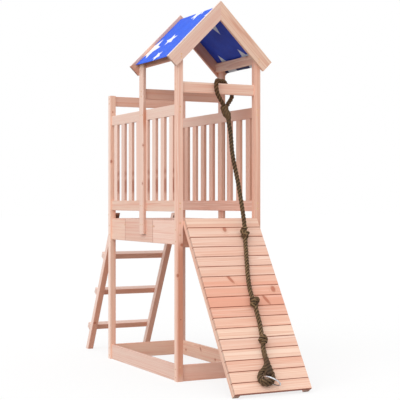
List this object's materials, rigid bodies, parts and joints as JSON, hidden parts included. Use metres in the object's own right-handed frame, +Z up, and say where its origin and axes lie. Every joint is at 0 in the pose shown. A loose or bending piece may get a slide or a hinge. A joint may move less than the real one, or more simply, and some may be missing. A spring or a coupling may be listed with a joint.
{
  "type": "wooden climbing frame",
  "caption": "Wooden play tower with a raised platform, slatted sides, a pitched sheet roof, a plank ramp with a knotted climbing rope, and a rung ladder.",
  "frame": {"origin": "on the ground, at the middle of the frame's footprint from the ramp's toe to the ladder's foot", "axes": "+Z up; +Y from the ramp towards the ladder; +X across the tower, to the right as seen from the ramp"},
  "size_m": [0.652, 2.2187, 2.1148],
  "materials": {
    "timber": "planed, untreated softwood",
    "ramp_timber": "planed, untreated softwood",
    "sheet": "woven sheet with a star pattern",
    "rope": "laid natural-fibre rope",
    "steel": "zinc plated"
  },
  "bodies": {
    "tower": {"front_left_post": "timber", "front_right_post": "timber", "rear_left_post": "timber", "rear_right_post": "timber", "front_base_board": "timber", "rear_base_board": "timber", "left_base_board": "timber", "right_base_board": "timber", "front_apron": "timber", "rear_apron": "timber", "left_skirt": "timber", "right_skirt": "timber", "floor_bearers": "timber", "floor_boards": "timber", "left_bottom_rail": "timber", "right_bottom_rail": "timber", "left_top_rail": "timber", "right_top_rail": "timber", "left_slats": "timber", "right_slats": "timber", "front_beam": "timber", "middle_beam": "timber", "rear_beam": "timber", "left_roof_board": "timber", "right_roof_board": "timber", "left_purlin": "timber", "right_purlin": "timber", "ridge_purlin": "timber", "front_left_rafter": "timber", "front_right_rafter": "timber", "rear_left_rafter": "timber", "rear_right_rafter": "timber", "roof_sheet": "sheet", "left_ladder_rail": "timber", "right_ladder_rail": "timber", "lower_rung": "timber", "middle_rung": "timber", "upper_rung": "timber", "left_stringer": "ramp_timber", "right_stringer": "ramp_timber", "ramp_planks": "ramp_timber", "rope_loop": "rope", "base_screws": "steel", "platform_screws": "steel", "panel_screws": "steel", "beam_screws": "steel", "roof_screws": "steel", "roof_board_screws": "steel", "ladder_screws": "steel", "ramp_screws": "steel"},
    "splice": {"rope_splice": "rope"},
    "rope": {"climbing_rope": "rope", "upper_knot": "rope", "middle_knot": "rope", "lower_knot": "rope", "end_ring": "steel"}
  },
  "joints": [
    {"name": "rope_lift", "type": "hinge", "parent": "tower", "child": "splice", "pos_m": [0.043, -0.45, 1.517], "axis": [-1, 0, 0], "range_deg": [0, 25]},
    {"name": "rope_sway", "type": "hinge", "parent": "splice", "child": "rope", "pos_m": [0.056, -0.463, 1.448], "axis": [0, -0.831, 0.5563], "range_deg": [-5, 5]}
  ]
}
